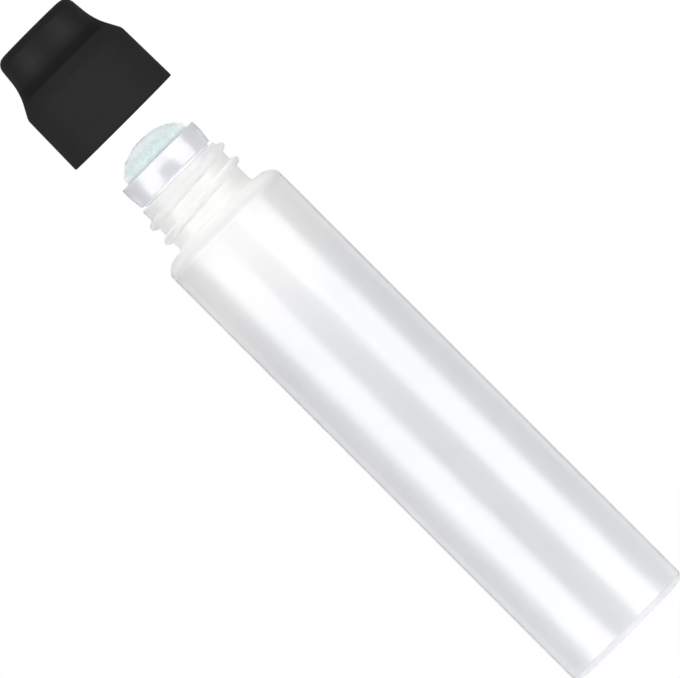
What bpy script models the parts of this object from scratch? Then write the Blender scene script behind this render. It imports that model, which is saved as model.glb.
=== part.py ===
"""Empty squeeze paint marker with a domed felt nib, a spring valve and its screw cap held above the nib.

The marker stands upright on its base. The origin is the middle of the base, +Z runs up the axis.
Sizes are in metres.
"""

import math

import bmesh
import bpy

# Clearances between pieces
FIT = 0.0003  # between two pieces that seat on each other
NIB_CLEARANCE = 0.0002  # round the felt in the collar
POPPET_CLEARANCE = 0.0004  # round the poppet in the retainer
SPRING_CLEARANCE = 0.0007  # between the spring and the poppet's boss
THREAD_CLEARANCE = 0.0004  # between the neck's thread and the cap's bore
COLLAR_CLEARANCE = 0.0003  # between the collar and the cap
DOME_CLEARANCE = 0.0004  # round the felt in the cap

# Bottle
BODY_RADIUS = 0.0150
BODY_HEIGHT = 0.1140  # up to the start of the shoulder
BODY_WALL = 0.0012
SHOULDER_HEIGHT = 0.00295
BASE_EDGE = 0.0014  # rounded edge round the base
BASE_THICKNESS = 0.0014
PUSH_UP = 0.0008  # hollow under the base
STANDING_RING = 0.0030  # width of the ring that the bottle stands on
INNER_CORNER = 0.0010
NECK_HEIGHT = 0.0108
NECK_WALL = 0.0014
NECK_FILLET = 0.0005
LIP_EDGE = 0.0003
THREAD_DEPTH = 0.0013

# Nib holder
COLLAR_SETBACK = 0.0001  # how far the collar stands inside the neck's outside
COLLAR_WALL = 0.00145
COLLAR_BULGE = 0.0002  # how far the collar's widest part stands out past its ends
BULGE_TOP = 0.0014  # from the collar's top down to where its widest part starts
BULGE_BOTTOM = 0.0027  # from the collar's top down to where it ends
COLLAR_EDGE = 0.0005
COLLAR_FLOOR = 0.00045  # from the underside of the collar to the top of the floor
FLOOR_THICKNESS = 0.0016
PLUG_WALL = 0.0016
SEALING_BEAD = 0.0002
SEALING_BEADS = 3
BEAD_FLANK = 0.0004  # from a bead's crest to its foot, along the plug

# Nib
NIB_TRAVEL = 0.0015
NIB_SINK = 0.0019  # straight foot of the felt below the collar's top
NIB_DOME = 0.00475
DOME_FULLNESS = 1.8  # 2 would be an ellipse
CARRIER_THICKNESS = 0.0010
CARRIER_CLEARANCE = 0.0004
STEM_RADIUS = 0.0016
SPIGOT_RADIUS = 0.0022
SPIGOT_HEIGHT = 0.0024
FLOW_HOLES = 6
FLOW_HOLE_RADIUS = 0.0009
FLOW_CIRCLE = 0.0050  # radius of the circle that the flow holes lie on

# Valve
FLOW_GAP = 0.0014  # between the stem and its hole in the floor
SEAL_THICKNESS = 0.00055
POPPET_THICKNESS = 0.0014
POPPET_RIM = 0.0001  # of the poppet outside the spring
BOSS_WALL = 0.0010
BOSS_LENGTH = 0.0024
SOCKET_DEPTH = 0.0023
SPRING_WIRE = 0.00035  # radius of the wire
SPRING_LENGTH = 0.0056
SPRING_TURNS = 5
RETAINER_WALL = 0.0013
RETAINER_FLOOR = 0.0012
RETAINER_HEIGHT = 0.0042  # of its wall above its floor
RETAINER_SLOT = 0.0018  # width of the crossed slots in its floor

# Cap
CAP_APART = 0.00475  # between the nib and the mouth of the cap that is taken off
SHOULDER_GAP = 0.00105  # between the shoulder and the mouth of the closed cap
CAP_WALL = 0.0016
CAP_TOP_WALL = 0.0018
SKIRT_DRAFT = 0.00025
SKIRT_OVERLAP = 0.0018  # from the skirt's top up to the collar's top, closed
HEAD_WALL = 0.0013
HEAD_DRAFT = 0.0006
HEAD_ROOM = 0.00415  # over the nib
HEAD_CORNER = 0.0024
NAPE_RADIUS = 0.0120  # hollow curve from the cap's slope into its head
NAPE_RISE = 0.0033  # from the skirt's ring seat up to where slope and head meet
MOUTH_EDGE = 0.0003
RING_THICKNESS = 0.0010
RING_WIDTH = 0.0016
RING_CATCH = 0.0002  # hold of the cap's lip under the ring

# Mixing balls
BALL_RADIUS = 0.0030
BALL_SPACING = 0.0020

# Facets
ROUND_STEPS = 40
SMALL_STEPS = 28
ARC_STEPS = 4
EDGE_STEPS = 2  # of the smallest rounds
SHOULDER_STEPS = 8
DOME_STEPS = 9
HOLE_STEPS = 12
SPRING_STEPS = 14
WIRE_ROUNDNESS = 2
BALL_STEPS = 16
BALL_RINGS = 10
MERGE_DISTANCE = 0.00001
CUT_THROUGH = 0.0012  # how far a cutter is longer than the wall it cuts

# Radii, from the stem outwards
socket_radius = STEM_RADIUS + FIT
boss_radius = socket_radius + BOSS_WALL
spring_radius = boss_radius + SPRING_CLEARANCE + SPRING_WIRE
poppet_radius = spring_radius + SPRING_WIRE + POPPET_RIM
seat_radius = STEM_RADIUS + FLOW_GAP
retainer_inner = poppet_radius + POPPET_CLEARANCE
retainer_outer = retainer_inner + RETAINER_WALL
chamber_radius = retainer_outer + FIT
plug_radius = chamber_radius + PLUG_WALL
neck_bore = plug_radius + SEALING_BEAD + FIT
neck_radius = neck_bore + NECK_WALL
collar_radius = neck_radius - COLLAR_SETBACK
recess_radius = collar_radius - COLLAR_WALL
nib_radius = recess_radius - NIB_CLEARANCE
carrier_radius = recess_radius - CARRIER_CLEARANCE
cap_bore = neck_radius + THREAD_DEPTH + THREAD_CLEARANCE
skirt_radius = cap_bore + CAP_WALL
collar_bore = collar_radius + COLLAR_CLEARANCE
ring_outer = collar_bore + RING_CATCH
ring_inner = ring_outer - RING_WIDTH
ring_seat = ring_outer + RING_CATCH
dome_bore = nib_radius + DOME_CLEARANCE
head_radius = dome_bore + HEAD_WALL

# Heights, from the base up
shoulder_top = BODY_HEIGHT + SHOULDER_HEIGHT
lip_height = shoulder_top + NECK_HEIGHT
floor_top = PUSH_UP + BASE_THICKNESS
collar_bottom = lip_height + FIT
collar_height = COLLAR_FLOOR + FIT + NIB_TRAVEL + CARRIER_THICKNESS + FIT + NIB_SINK
collar_top = collar_bottom + collar_height
felt_bottom = collar_top - NIB_SINK
nib_apex = collar_top + NIB_DOME
carrier_top = felt_bottom - FIT
carrier_bottom = carrier_top - CARRIER_THICKNESS
holder_floor_top = collar_bottom + COLLAR_FLOOR
seat_height = holder_floor_top - FLOOR_THICKNESS
seal_top = seat_height - FIT
poppet_top = seal_top - SEAL_THICKNESS - FIT
poppet_bottom = poppet_top - POPPET_THICKNESS
spring_top = poppet_bottom - FIT
spring_bottom = spring_top - SPRING_LENGTH
retainer_floor_top = spring_bottom - FIT
retainer_bottom = retainer_floor_top - RETAINER_FLOOR
plug_bottom = retainer_floor_top + FIT
closed_mouth = shoulder_top + SHOULDER_GAP
open_mouth = nib_apex + CAP_APART

# Heights in the cap, from its mouth up
closed_collar_top = collar_top - closed_mouth
ring_bottom = closed_collar_top + FIT
ring_top = ring_bottom + RING_THICKNESS
ring_seat_top = ring_top + FIT
skirt_top = closed_collar_top - SKIRT_OVERLAP
nape_height = closed_collar_top + NAPE_RISE
cavity_top = nib_apex - closed_mouth + HEAD_ROOM
cap_height = cavity_top + CAP_TOP_WALL


# Points and outlines
def arc(middle, radii, first, last, steps=ARC_STEPS):
    """Points on an upright ellipse in the plane of the profile, between two angles in degrees from +X."""
    points = []
    for step in range(steps + 1):
        angle = math.radians(first + (last - first) * step / steps)
        points.append((middle[0] + radii[0] * math.cos(angle), middle[1] + radii[1] * math.sin(angle)))
    return points


def fillet(corner, before, after, radius):
    """Points of a round of this radius where the lines from before and to after meet at the corner."""
    into = math.atan2(before[1] - corner[1], before[0] - corner[0])
    out_of = math.atan2(after[1] - corner[1], after[0] - corner[0])
    half = abs((out_of - into + math.pi) % math.tau - math.pi) / 2
    reach = min(radius / math.tan(half), math.dist(corner, before), math.dist(corner, after))
    points = []
    for step in range(ARC_STEPS + 1):
        # A quadratic curve through the two tangent points stays close to the circle on so flat a corner.
        share = step / ARC_STEPS
        near, far = reach * (1 - share) ** 2, reach * share**2
        points.append(
            (
                corner[0] + near * math.cos(into) + far * math.cos(out_of),
                corner[1] + near * math.sin(into) + far * math.sin(out_of),
            )
        )
    return points


def on_line(start, end, radius):
    """Height at which the line from start to end has this radius."""
    return start[1] + (end[1] - start[1]) * (radius - start[0]) / (end[0] - start[0])


# Objects and materials
def new_collection(name):
    collection = bpy.data.collections.new(name)
    bpy.context.scene.collection.children.link(collection)
    return collection


def finish(name, colour, roughness, metallic=0.0):
    """A Principled BSDF material of this linear colour."""
    material = bpy.data.materials.new(name)
    material.use_nodes = True
    shader = material.node_tree.nodes["Principled BSDF"]
    shader.inputs["Base Color"].default_value = (*colour, 1.0)
    shader.inputs["Roughness"].default_value = roughness
    shader.inputs["Metallic"].default_value = metallic
    return material


def place(obj, material, parent, location=(0.0, 0.0, 0.0)):
    """Puts a piece in the marker's collection, under its parent, with its material."""
    for collection in obj.users_collection:
        collection.objects.unlink(obj)
    marker.objects.link(obj)
    obj.parent = parent
    obj.location = location
    obj.data.materials.clear()
    obj.data.materials.append(material)
    return obj


def empty(name, parent=None, height=0.0):
    obj = bpy.data.objects.new(name, None)
    obj.empty_display_size = BODY_RADIUS
    obj.parent = parent
    obj.location = (0.0, 0.0, height)
    marker.objects.link(obj)
    return obj


def turned(name, outline, material, parent, closed, steps=ROUND_STEPS):
    """A turned piece from its outline, in the parent's heights. A closed outline makes a ring."""
    mesh = bpy.data.meshes.new(name)
    count = len(outline)
    edges = [(i, i + 1) for i in range(count - 1)]
    if closed:
        edges.append((count - 1, 0))
    mesh.from_pydata([(radius, 0.0, height) for radius, height in outline], edges, [])
    obj = place(bpy.data.objects.new(name, mesh), material, parent)
    screw = obj.modifiers.new("turn", "SCREW")
    screw.axis = "Z"
    screw.steps = steps
    screw.render_steps = steps
    screw.use_merge_vertices = True
    screw.merge_threshold = MERGE_DISTANCE
    screw.use_smooth_shade = True
    return obj


def cut(obj, cutter):
    """Takes the cutter's shape out of a piece."""
    for collection in cutter.users_collection:
        collection.objects.unlink(cutter)
    cutters.objects.link(cutter)
    cutter.hide_render = True
    cutter.display_type = "WIRE"
    boolean = obj.modifiers.new(cutter.name, "BOOLEAN")
    boolean.operation = "DIFFERENCE"
    boolean.solver = "EXACT"
    boolean.object = cutter


def round_cutter(name, radius, height, location):
    mesh = bpy.data.meshes.new(name)
    shape = bmesh.new()
    bmesh.ops.create_cone(
        shape, cap_ends=True, segments=HOLE_STEPS, radius1=radius, radius2=radius, depth=height
    )
    shape.to_mesh(mesh)
    shape.free()
    cutter = bpy.data.objects.new(name, mesh)
    cutter.location = location
    cutters.objects.link(cutter)
    return cutter


def box_cutter(name, size, location, turn):
    mesh = bpy.data.meshes.new(name)
    shape = bmesh.new()
    bmesh.ops.create_cube(shape, size=1.0)
    bmesh.ops.scale(shape, vec=size, verts=shape.verts)
    shape.to_mesh(mesh)
    shape.free()
    cutter = bpy.data.objects.new(name, mesh)
    cutter.location = location
    cutter.rotation_euler = (0.0, 0.0, turn)
    cutters.objects.link(cutter)
    return cutter


# The fixed pieces
def make_bottle(parent):
    """Blow-moulded bottle: its outline runs up the inside, over the lip and down the outside."""
    inner_radius = BODY_RADIUS - BODY_WALL
    inside_top = shoulder_top - BODY_WALL
    ring_edge = BODY_RADIUS - BASE_EDGE - STANDING_RING
    outline = [(0.0, floor_top)]
    outline += arc((inner_radius - INNER_CORNER, floor_top + INNER_CORNER), (INNER_CORNER,) * 2, -90, 0)
    outline += arc((neck_bore, BODY_HEIGHT), (inner_radius - neck_bore, inside_top - BODY_HEIGHT), 0, 90)
    outline += [(neck_bore, lip_height - LIP_EDGE), (neck_bore + LIP_EDGE, lip_height)]
    outline += arc((neck_radius - LIP_EDGE, lip_height - LIP_EDGE), (LIP_EDGE,) * 2, 90, 0, EDGE_STEPS)
    root = neck_radius + NECK_FILLET
    outline += arc((root, shoulder_top + NECK_FILLET), (NECK_FILLET,) * 2, 180, 270, EDGE_STEPS)
    outline += arc((root, BODY_HEIGHT), (BODY_RADIUS - root, SHOULDER_HEIGHT), 90, 0, SHOULDER_STEPS)[1:]
    outline += arc((BODY_RADIUS - BASE_EDGE, BASE_EDGE), (BASE_EDGE,) * 2, 0, -90)
    outline += [(ring_edge, 0.0), (ring_edge - PUSH_UP, PUSH_UP), (0.0, PUSH_UP)]
    return turned("bottle", outline, milky_plastic, parent, closed=False)


def make_nib_holder(parent):
    """Plug with sealing beads in the neck, collar over the lip, and floor with the valve's seat."""
    foot_radius = collar_radius - COLLAR_BULGE
    outline = [(foot_radius - COLLAR_EDGE / 2, collar_top), (foot_radius, collar_top - COLLAR_EDGE / 2)]
    outline += [(collar_radius, collar_top - BULGE_TOP), (collar_radius, collar_top - BULGE_BOTTOM)]
    outline += arc((foot_radius - COLLAR_EDGE, collar_bottom + COLLAR_EDGE), (COLLAR_EDGE,) * 2, 0, -90)
    outline += [(plug_radius, collar_bottom)]
    pitch = (collar_bottom - plug_bottom) / (SEALING_BEADS + 1)
    for bead in range(SEALING_BEADS):
        height = collar_bottom - pitch * (bead + 1)
        outline += [(plug_radius, height + BEAD_FLANK), (plug_radius + SEALING_BEAD, height)]
        outline += [(plug_radius, height - BEAD_FLANK)]
    outline += [(plug_radius, plug_bottom), (chamber_radius, plug_bottom), (chamber_radius, seat_height)]
    outline += [(seat_radius, seat_height), (seat_radius, holder_floor_top)]
    outline += [(recess_radius, holder_floor_top), (recess_radius, collar_top - NIB_CLEARANCE)]
    outline += [(recess_radius + NIB_CLEARANCE, collar_top)]
    return turned("nib_holder", outline, white_plastic, parent, closed=True)


def make_valve_retainer(parent):
    """Flanged cup in the holder's plug: the spring stands on its floor, paint comes in by crossed slots."""
    flange = plug_radius - FIT
    wall_top = retainer_floor_top + RETAINER_HEIGHT
    outline = [(0.0, retainer_floor_top), (retainer_inner, retainer_floor_top), (retainer_inner, wall_top)]
    outline += [(retainer_outer, wall_top), (retainer_outer, retainer_floor_top)]
    outline += [(flange, retainer_floor_top), (flange, retainer_bottom), (0.0, retainer_bottom)]
    obj = turned("valve_retainer", outline, white_plastic, parent, closed=False, steps=SMALL_STEPS)
    reach = 2 * (spring_radius - SPRING_WIRE - FIT)
    middle = (0.0, 0.0, (retainer_floor_top + retainer_bottom) / 2)
    for turn in range(2):
        slot = box_cutter(
            f"retainer_slot_{turn + 1}",
            (reach, RETAINER_SLOT, RETAINER_FLOOR + CUT_THROUGH),
            middle,
            math.pi / 2 * turn,
        )
        cut(obj, slot)
    return obj


# The nib and its valve, which slide together
def make_nib_felt(parent):
    """Domed felt with a socket underneath for the carrier's spigot."""
    socket = SPIGOT_RADIUS + FIT
    outline = [(0.0, collar_top + NIB_DOME)]
    for step in range(1, DOME_STEPS + 1):
        rise = math.cos(math.pi / 2 * step / DOME_STEPS)
        outline.append((nib_radius * (1 - rise**2) ** (1 / DOME_FULLNESS), collar_top + NIB_DOME * rise))
    outline += [(nib_radius, felt_bottom), (socket, felt_bottom)]
    outline += [(socket, carrier_top + SPIGOT_HEIGHT + FIT), (0.0, carrier_top + SPIGOT_HEIGHT + FIT)]
    return turned("nib_felt", outline, felt, parent, closed=False)


def make_nib_carrier(parent):
    """Plate with flow holes under the felt, a spigot into the felt and a stem down to the poppet."""
    stem_end = poppet_top - SOCKET_DEPTH + FIT
    outline = [(0.0, carrier_top + SPIGOT_HEIGHT), (SPIGOT_RADIUS, carrier_top + SPIGOT_HEIGHT)]
    outline += [(SPIGOT_RADIUS, carrier_top), (carrier_radius, carrier_top), (carrier_radius, carrier_bottom)]
    outline += [(STEM_RADIUS, carrier_bottom), (STEM_RADIUS, stem_end), (0.0, stem_end)]
    obj = turned("nib_carrier", outline, white_plastic, parent, closed=False, steps=SMALL_STEPS)
    middle = (carrier_top + carrier_bottom) / 2
    for hole in range(FLOW_HOLES):
        angle = math.tau * hole / FLOW_HOLES
        where = (FLOW_CIRCLE * math.cos(angle), FLOW_CIRCLE * math.sin(angle), middle)
        length = CARRIER_THICKNESS + CUT_THROUGH
        cut(obj, round_cutter(f"flow_hole_{hole + 1}", FLOW_HOLE_RADIUS, length, where))
    return obj


def make_valve_poppet(parent):
    """Disc that closes the hole in the holder's floor, with the stem's socket in the spring's boss."""
    boss_end = poppet_bottom - BOSS_LENGTH
    outline = [(0.0, poppet_top - SOCKET_DEPTH), (socket_radius, poppet_top - SOCKET_DEPTH)]
    outline += [(socket_radius, poppet_top), (poppet_radius, poppet_top), (poppet_radius, poppet_bottom)]
    outline += [(boss_radius, poppet_bottom), (boss_radius, boss_end), (0.0, boss_end)]
    return turned("valve_poppet", outline, white_plastic, parent, closed=False, steps=SMALL_STEPS)


def make_valve_seal(parent):
    """Soft ring on the poppet, under the seat."""
    bottom = seal_top - SEAL_THICKNESS
    outline = [(socket_radius, seal_top), (poppet_radius, seal_top)]
    outline += [(poppet_radius, bottom), (socket_radius, bottom)]
    return turned("valve_seal", outline, seal_rubber, parent, closed=True, steps=SMALL_STEPS)


def make_valve_spring(parent):
    """Coil spring from the retainer's floor up to the poppet."""
    curve = bpy.data.curves.new("valve_spring", "CURVE")
    curve.dimensions = "3D"
    curve.bevel_depth = SPRING_WIRE
    curve.bevel_resolution = WIRE_ROUNDNESS
    curve.use_fill_caps = True
    count = SPRING_TURNS * SPRING_STEPS + 1
    spline = curve.splines.new("POLY")
    spline.points.add(count - 1)
    first, last = spring_bottom + SPRING_WIRE, spring_top - SPRING_WIRE
    for index, point in enumerate(spline.points):
        angle = math.tau * index / SPRING_STEPS
        height = first + (last - first) * index / (count - 1)
        point.co = (spring_radius * math.cos(angle), spring_radius * math.sin(angle), height, 1.0)
    return place(bpy.data.objects.new("valve_spring", curve), spring_steel, parent)


# The cap and its seal, which screw on together
def make_cap(parent):
    """Screw cap: its outline runs from the top down the outside to the mouth, then up the inside."""
    mouth_radius = skirt_radius + SKIRT_DRAFT
    nape_radius = head_radius + HEAD_DRAFT
    skirt_corner = (skirt_radius, skirt_top)
    nape = (nape_radius, nape_height)
    head_edge = (head_radius, cap_height - HEAD_CORNER)
    inside_slope = on_line(skirt_corner, nape, collar_bore + CAP_WALL) - CAP_WALL / 2

    outside = [(0.0, cap_height)]
    outside += arc((head_radius - HEAD_CORNER, cap_height - HEAD_CORNER), (HEAD_CORNER,) * 2, 90, 0)
    outside += fillet(nape, head_edge, skirt_corner, NAPE_RADIUS)
    outside += [skirt_corner]
    outside += [(mouth_radius, MOUTH_EDGE), (mouth_radius - MOUTH_EDGE, 0.0)]

    inside = [(cap_bore + MOUTH_EDGE, 0.0), (cap_bore, MOUTH_EDGE)]
    inside += [(cap_bore, skirt_top - CAP_WALL), (collar_bore, min(inside_slope, ring_bottom - 2 * FIT))]
    inside += [(collar_bore, ring_bottom - FIT), (ring_seat, ring_bottom - FIT), (ring_seat, ring_seat_top)]
    inside += [(dome_bore, ring_seat_top)]
    inside += arc((dome_bore - HEAD_CORNER, cavity_top - HEAD_CORNER), (HEAD_CORNER,) * 2, 0, 90)
    inside += [(0.0, cavity_top)]
    return turned("cap", outside + inside, black_plastic, parent, closed=False)


def make_cap_seal_ring(parent):
    """Soft ring caught in the cap, which closes on the collar's rim."""
    outline = [(ring_inner, ring_top), (ring_outer, ring_top)]
    outline += [(ring_outer, ring_bottom), (ring_inner, ring_bottom)]
    return turned("cap_seal_ring", outline, seal_rubber, parent, closed=True)


def make_mixing_balls(parent):
    """Loose steel balls that lie on the bottle's floor."""
    offset = BALL_RADIUS + BALL_SPACING / 2
    for number, side in enumerate((-1, 1), start=1):
        bpy.ops.mesh.primitive_uv_sphere_add(segments=BALL_STEPS, ring_count=BALL_RINGS, radius=BALL_RADIUS)
        ball = bpy.context.object
        ball.name = f"mixing_ball_{number}"
        ball.data.shade_smooth()
        place(ball, ball_steel, parent, (side * offset, 0.0, floor_top + FIT + BALL_RADIUS))


for leftover in list(bpy.data.objects):
    bpy.data.objects.remove(leftover, do_unlink=True)

marker = new_collection("paint_marker")
cutters = new_collection("paint_marker_cutters")

milky_plastic = finish("milky_plastic", (0.80, 0.82, 0.84), 0.32)
white_plastic = finish("white_plastic", (0.82, 0.83, 0.83), 0.35)
black_plastic = finish("black_plastic", (0.022, 0.022, 0.022), 0.60)
felt = finish("felt", (0.72, 0.84, 0.83), 0.90)
seal_rubber = finish("seal_rubber", (0.62, 0.62, 0.60), 0.70)
spring_steel = finish("spring_steel", (0.60, 0.60, 0.62), 0.30, metallic=1.0)
ball_steel = finish("ball_steel", (0.66, 0.66, 0.68), 0.18, metallic=1.0)

root = empty("marker_axis")
make_bottle(root)
make_nib_holder(root)
make_valve_retainer(root)
make_valve_spring(root)
make_mixing_balls(root)

nib_axis = empty("nib_axis", root)
make_nib_felt(nib_axis)
make_nib_carrier(nib_axis)
make_valve_poppet(nib_axis)
make_valve_seal(nib_axis)

cap_axis = empty("cap_axis", root, open_mouth)
make_cap_seal_ring(cap_axis)
make_cap(cap_axis)
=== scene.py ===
# %% [markdown]
# # An empty paint marker with its cap taken off
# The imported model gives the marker's pieces as plain solids. They stay as the fixed frame, and this
# lesson dresses them: smooth turned pieces, screw threads, a felt nib and real finishes, each on
# the body it moves with.

# %% Load the frame
import math
import random

import bmesh
import bpy
from mathutils import Matrix, Vector, noise


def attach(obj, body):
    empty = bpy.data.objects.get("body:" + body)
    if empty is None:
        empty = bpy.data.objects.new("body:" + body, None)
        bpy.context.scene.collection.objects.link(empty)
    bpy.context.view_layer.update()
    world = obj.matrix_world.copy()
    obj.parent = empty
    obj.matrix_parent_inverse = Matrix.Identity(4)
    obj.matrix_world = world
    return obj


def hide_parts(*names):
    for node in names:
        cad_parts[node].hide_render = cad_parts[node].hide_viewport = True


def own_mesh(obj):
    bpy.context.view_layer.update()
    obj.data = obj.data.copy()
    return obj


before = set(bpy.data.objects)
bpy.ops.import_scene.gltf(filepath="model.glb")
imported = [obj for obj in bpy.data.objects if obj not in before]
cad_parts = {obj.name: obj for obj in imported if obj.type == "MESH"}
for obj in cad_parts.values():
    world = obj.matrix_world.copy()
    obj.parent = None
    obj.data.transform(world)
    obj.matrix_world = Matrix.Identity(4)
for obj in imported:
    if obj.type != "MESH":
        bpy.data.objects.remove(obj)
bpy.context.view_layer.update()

MM = 0.001  # sizes below are in millimetres, Blender works in metres


print("solids:", sorted(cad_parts))

# %% [markdown]
# ## Camera
# The picture shows the marker from the side, with its axis along the diagonal and next to no
# perspective. A long lens far away gives that. The camera is rolled instead of tilting the marker,
# which stays upright. An orthographic camera would lose the little perspective that there is.

# %% Camera
PICTURE_WIDTH = 135.55 * MM  # what the picture's width spans at the marker's axis
AIM = Vector((0.0, 0.0, 82.0 * MM))
LENS = 1000.0
SENSOR = 36.0
FAR_CLIP = 50.0
LOOK_DOWN = math.radians(0.3)
ROLL = math.radians(45.0)

look = Vector((0.0, math.cos(LOOK_DOWN), -math.sin(LOOK_DOWN)))
level = Vector((1.0, 0.0, 0.0))
upright = level.cross(look)
right = level * math.cos(ROLL) - upright * math.sin(ROLL)
up = level * math.sin(ROLL) + upright * math.cos(ROLL)

camera = bpy.data.objects.new("camera", bpy.data.cameras.new("camera"))
camera.data.lens = LENS
camera.data.sensor_width = SENSOR
camera.data.clip_end = FAR_CLIP
turn = Matrix((right, up, -look)).transposed().to_4x4()
camera.matrix_world = Matrix.Translation(AIM - look * (PICTURE_WIDTH * LENS / SENSOR)) @ turn
bpy.context.scene.collection.objects.link(camera)
bpy.context.scene.camera = camera
bpy.context.scene.view_settings.view_transform = "Standard"
print("camera stands", round((camera.location - AIM).length, 3), "m from the marker")

# %% [markdown]
# ## Nodes and colours
# Every finish below is a small node tree. One function adds a node, sets it and links it, so that a
# finish reads from top to bottom. Colours are written as on a screen, and one function turns them
# into the linear values that the shader works with.


# %% Node and colour helpers
def add(tree, kind, inputs=(), **settings):
    """A new node: settings are its own options, inputs are values or other nodes' outputs."""
    made = tree.nodes.new(kind)
    for name, value in settings.items():
        setattr(made, name, value)
    for name, value in dict(inputs).items():
        if isinstance(value, bpy.types.NodeSocket):
            tree.links.new(value, made.inputs[name])
        else:
            made.inputs[name].default_value = value
    return made


def linear(screen):
    """Linear red, green, blue and full alpha of a colour such as #E8ECEE."""
    shares = [int(screen[place : place + 2], 16) / 255 for place in (1, 3, 5)]
    curve = [
        share / 12.92 if share <= 0.04045 else ((share + 0.055) / 1.055) ** 2.4 for share in shares
    ]
    return (*curve, 1.0)


def finish(name):
    """A new material and its empty node tree."""
    material = bpy.data.materials.new(name)
    material.use_nodes = True
    material.node_tree.nodes.clear()
    return material, material.node_tree


print("white is", linear("#FFFFFF"))

# %% [markdown]
# ## Stage
# A pale floor for the marker to stand on and a round white wall about it, the background from every
# side. Both are white to the camera through Light Path, which keeps them from throwing more light
# on the marker, and the floor still takes its shadow. From their backs both are clear, for a camera
# that stands outside the wall.

# %% Stage
WALL_RADIUS = 2.2
WALL_HEIGHT = 6.0
WALL_SEGMENTS = 64
FLOOR_SIZE = 2.0
FLOOR_GAP = 0.1 * MM  # keeps the floor clear of the marker's base
SHADOW_SHARE = 0.06
SHADOW_REACH = 0.08  # metres from the marker's axis to where the shadow has faded out


def white_to_camera(name, shade_share):
    """White to rays that are seen, with a share of real shading left in for the shadow."""
    material, tree = finish(name)
    material.cycles.emission_sampling = "NONE"  # the white is only to be seen and isn't a lamp
    path = add(tree, "ShaderNodeLightPath")
    direct = add(
        tree,
        "ShaderNodeMath",
        {0: path.outputs["Is Camera Ray"], 1: path.outputs["Is Glossy Ray"]},
        operation="MAXIMUM",
    )
    seen = add(
        tree,
        "ShaderNodeMath",
        {0: direct.outputs[0], 1: path.outputs["Is Transmission Ray"]},
        operation="MAXIMUM",
    )
    # The shading fades out around the marker, so that the sheet's own edge can't be seen.
    away = add(
        tree,
        "ShaderNodeVectorMath",
        {0: add(tree, "ShaderNodeTexCoord").outputs["Object"]},
        operation="LENGTH",
    )
    white_share = add(
        tree,
        "ShaderNodeMapRange",
        {
            "Value": away.outputs["Value"],
            "From Max": SHADOW_REACH,
            "To Min": 1.0 - shade_share,
            "To Max": 1.0,
        },
    )
    share = add(
        tree,
        "ShaderNodeMath",
        {0: seen.outputs[0], 1: white_share.outputs[0]},
        operation="MULTIPLY",
    )
    shaded = add(tree, "ShaderNodeBsdfDiffuse", {"Color": linear("#EDEDED")})
    white = add(tree, "ShaderNodeEmission", {"Strength": 1.0})
    mixed = add(
        tree,
        "ShaderNodeMixShader",
        {0: share.outputs[0], 1: shaded.outputs[0], 2: white.outputs[0]},
    )
    back = add(tree, "ShaderNodeNewGeometry").outputs["Backfacing"]
    clear = add(tree, "ShaderNodeBsdfTransparent")
    one_sided = add(
        tree, "ShaderNodeMixShader", {0: back, 1: mixed.outputs[0], 2: clear.outputs[0]}
    )
    add(tree, "ShaderNodeOutputMaterial", {"Surface": one_sided.outputs[0]})
    return material


def stage_sheet(name, shape, material):
    """A sheet of the stage, which lets the lamps through and shows in no gloss."""
    mesh = bpy.data.meshes.new(name)
    shape.to_mesh(mesh)
    shape.free()
    sheet = bpy.data.objects.new(name, mesh)
    mesh.materials.append(material)
    bpy.context.scene.collection.objects.link(sheet)
    # Out of the gloss, so that the reflections of the lamps run from the marker's base to its top.
    sheet.visible_glossy = False
    # The floor lets the lamp under it through, like a light table, and the wall the world's light.
    sheet.visible_shadow = False
    return sheet


shape = bmesh.new()
under = Matrix.Translation((0.0, 0.0, -FLOOR_GAP))
bmesh.ops.create_grid(shape, x_segments=1, y_segments=1, size=FLOOR_SIZE / 2, matrix=under)
stage_sheet("floor", shape, white_to_camera("matt_floor_paper", SHADOW_SHARE))

shape = bmesh.new()
bmesh.ops.create_cone(
    shape,
    cap_ends=False,
    segments=WALL_SEGMENTS,
    radius1=WALL_RADIUS,
    radius2=WALL_RADIUS,
    depth=WALL_HEIGHT,
)
bmesh.ops.recalc_face_normals(shape, faces=shape.faces[:])
bmesh.ops.reverse_faces(shape, faces=shape.faces[:])
wall = stage_sheet("wall", shape, white_to_camera("white_wall_paper", 0.0))
wall.visible_diffuse = False
print("floor and wall are in place")

# %% [markdown]
# ## Lamps
# Two softboxes left and right in front of the marker give its soft light and are kept out of the
# gloss. The cards are there for the gloss only. A wide one on each side shows on the bottle as a
# long pale stripe, the upper ones show on the cap's head, and the lower ones carry the stripes over
# the collar's taper. Those at the sides and the flanks lift the tone outside the stripes, and the
# one in front whitens the neck and the top of the body. A ceiling gives plain light from above,
# past the cap, which would otherwise shade the nib. Weak softboxes behind brighten the outlines, a
# fill the back, and a light table with two edges the base's chamfer. A lamp is given by the light
# that its face sends out, so its power follows from its area.

# %% Lamps
LAMP_DISTANCE = 1.0
LAMP_AIM = 75.0


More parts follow.
